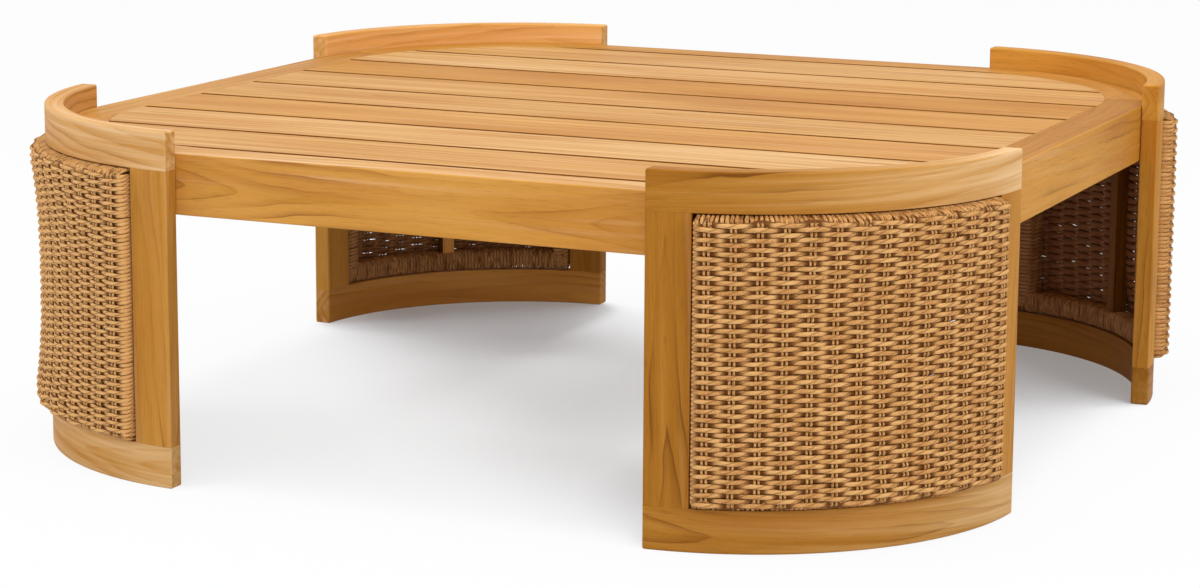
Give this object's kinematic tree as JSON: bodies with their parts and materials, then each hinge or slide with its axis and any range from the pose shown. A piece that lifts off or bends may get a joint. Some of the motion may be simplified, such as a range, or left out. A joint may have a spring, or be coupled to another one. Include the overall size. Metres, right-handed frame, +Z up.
{
  "type": "coffee table",
  "caption": "Low square slatted wooden coffee table on quarter-round corner legs, each a curved frame that holds a bowed panel of woven rope.",
  "frame": {"origin": "on the floor under the middle of the square deck", "axes": "+Z up; +X to the right and along the slats; +Y to the back, across the slats"},
  "size_m": [1.1956, 1.1956, 0.4],
  "materials": {
    "deck_teak": "oiled, fine straight grain along each board",
    "leg_teak": "oiled, grain round the curve of the rails and up the stiles",
    "inner_timber": "plain sawn, unseen from above",
    "rope": "twisted natural-look outdoor rope in plain weave",
    "bolt_steel": "plain zinc-coloured steel"
  },
  "bodies": {
    "root": {"slat_1": "deck_teak", "slat_2": "deck_teak", "slat_3": "deck_teak", "slat_4": "deck_teak", "slat_5": "deck_teak", "slat_6": "deck_teak", "slat_7": "deck_teak", "slat_8": "deck_teak", "front_beam": "deck_teak", "back_beam": "deck_teak", "left_beam": "deck_teak", "right_beam": "deck_teak", "back_right_corner_rail": "deck_teak", "back_left_corner_rail": "deck_teak", "front_left_corner_rail": "deck_teak", "front_right_corner_rail": "deck_teak", "back_right_top_rail": "leg_teak", "back_left_top_rail": "leg_teak", "front_left_top_rail": "leg_teak", "front_right_top_rail": "leg_teak", "back_right_bottom_rail": "leg_teak", "back_left_bottom_rail": "leg_teak", "front_left_bottom_rail": "leg_teak", "front_right_bottom_rail": "leg_teak", "back_right_stile_right": "leg_teak", "back_right_stile_back": "leg_teak", "back_left_stile_back": "leg_teak", "back_left_stile_left": "leg_teak", "front_left_stile_left": "leg_teak", "front_left_stile_front": "leg_teak", "front_right_stile_front": "leg_teak", "front_right_stile_right": "leg_teak", "back_right_panel_frame": "inner_timber", "back_left_panel_frame": "inner_timber", "front_left_panel_frame": "inner_timber", "front_right_panel_frame": "inner_timber", "back_right_woven_panel": "rope", "back_left_woven_panel": "rope", "front_left_woven_panel": "rope", "front_right_woven_panel": "rope", "back_right_corner_ledge": "inner_timber", "back_left_corner_ledge": "inner_timber", "front_left_corner_ledge": "inner_timber", "front_right_corner_ledge": "inner_timber", "bearer_1": "inner_timber", "bearer_2": "inner_timber", "bearer_3": "inner_timber", "left_ledge": "inner_timber", "right_ledge": "inner_timber", "back_right_bolt_right": "bolt_steel", "back_right_bolt_back": "bolt_steel", "back_left_bolt_back": "bolt_steel", "back_left_bolt_left": "bolt_steel", "front_left_bolt_left": "bolt_steel", "front_left_bolt_front": "bolt_steel", "front_right_bolt_front": "bolt_steel", "front_right_bolt_right": "bolt_steel"}
  },
  "joints": []
}
